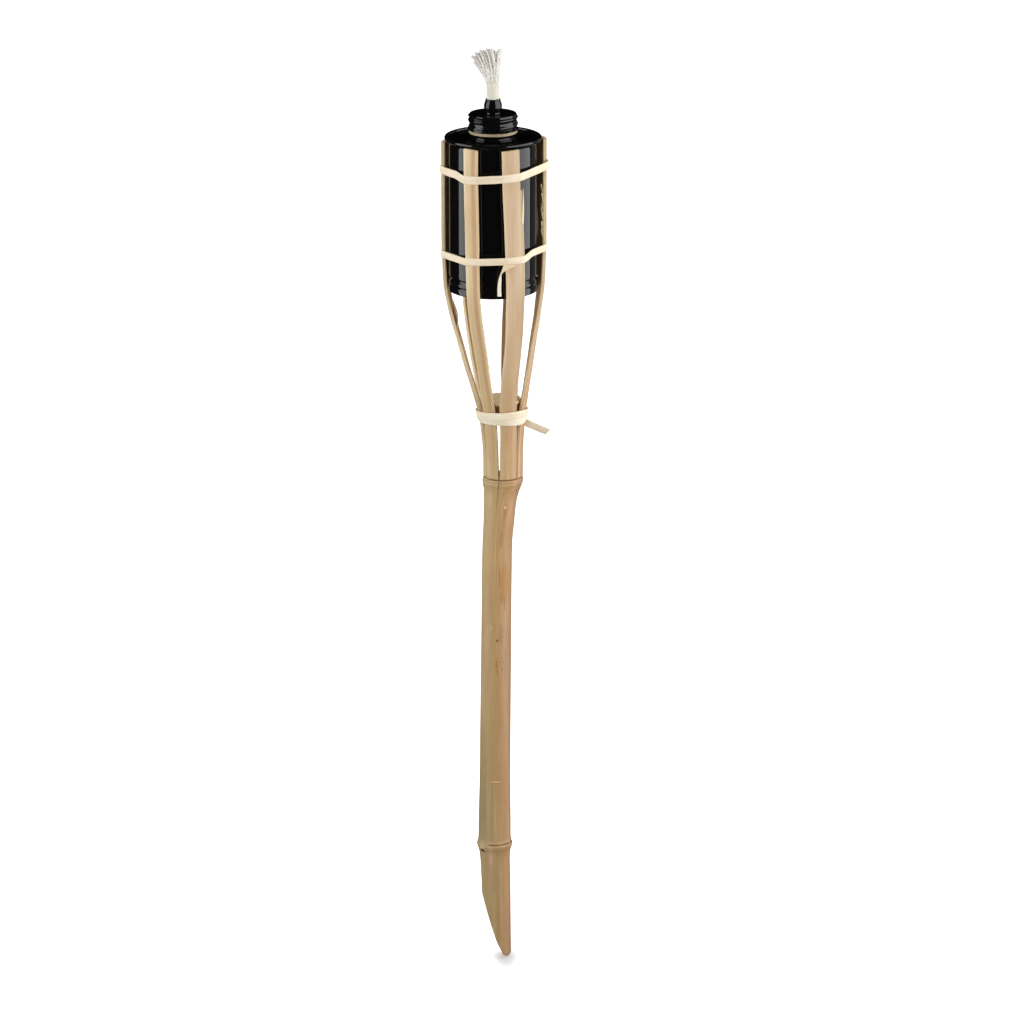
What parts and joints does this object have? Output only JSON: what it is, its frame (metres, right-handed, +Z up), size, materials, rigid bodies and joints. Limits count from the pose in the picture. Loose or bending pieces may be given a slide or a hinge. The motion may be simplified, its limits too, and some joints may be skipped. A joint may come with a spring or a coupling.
{
  "type": "tiki torch",
  "caption": "Bamboo garden torch: a staked culm split into a basket of staves, tied with cane, holding a lift-out oil tank with screw cap and wick.",
  "frame": {"origin": "level of the stake's tip, on the axis of the oil tank", "axes": "+Z up along the torch, towards the wick; -Y is the front, where two staves stand either side of a gap; the stake's slanted cut faces -X"},
  "size_m": [0.1037, 0.0991, 0.9],
  "materials": {
    "bamboo": "satin natural skin",
    "split_bamboo": "satin natural skin with raw split edges",
    "plug_wood": "raw",
    "cane": "matt, pale, fibrous",
    "enamel": "gloss black",
    "washer": "satin, pale",
    "liner": "matt",
    "cotton": "matt twisted fibre"
  },
  "bodies": {
    "culm": {"pole": "bamboo", "lower_diaphragm": "plug_wood", "upper_diaphragm": "plug_wood", "stave_front_left": "split_bamboo", "stave_front_right": "split_bamboo", "stave_right": "split_bamboo", "stave_back_right": "split_bamboo", "stave_back_left": "split_bamboo", "stave_left": "split_bamboo", "spreader_plug": "plug_wood", "upper_band": "cane", "lower_band": "cane", "neck_binding": "cane"},
    "tank": {"tank_wall": "enamel", "tank_bottom": "enamel", "tank_top": "enamel", "tank_neck": "enamel", "neck_washer": "washer"},
    "liner": {"cap_liner": "liner"},
    "cap": {"screw_cap": "enamel", "wick_tube": "enamel"},
    "wick": {"wick": "cotton"}
  },
  "joints": [
    {"name": "tank_lift", "type": "slide", "parent": "culm", "child": "tank", "axis": [0, 0, 1], "range_m": [0, 0.15]},
    {"name": "cap_rise", "type": "slide", "parent": "tank", "child": "liner", "axis": [0, 0, 1], "range_m": [0, 0.013]},
    {"name": "cap_turn", "type": "hinge", "parent": "liner", "child": "cap", "pos_m": [0, 0, 0.83], "axis": [0, 0, 1], "range_deg": [0, 720]},
    {"name": "wick_slide", "type": "slide", "parent": "cap", "child": "wick", "axis": [0, 0, 1], "range_m": [-0.012, 0.02]}
  ],
  "couplings": [
    {"joint": "cap_rise", "follows": "cap_turn", "m_per_rad": 0.0010186}
  ]
}
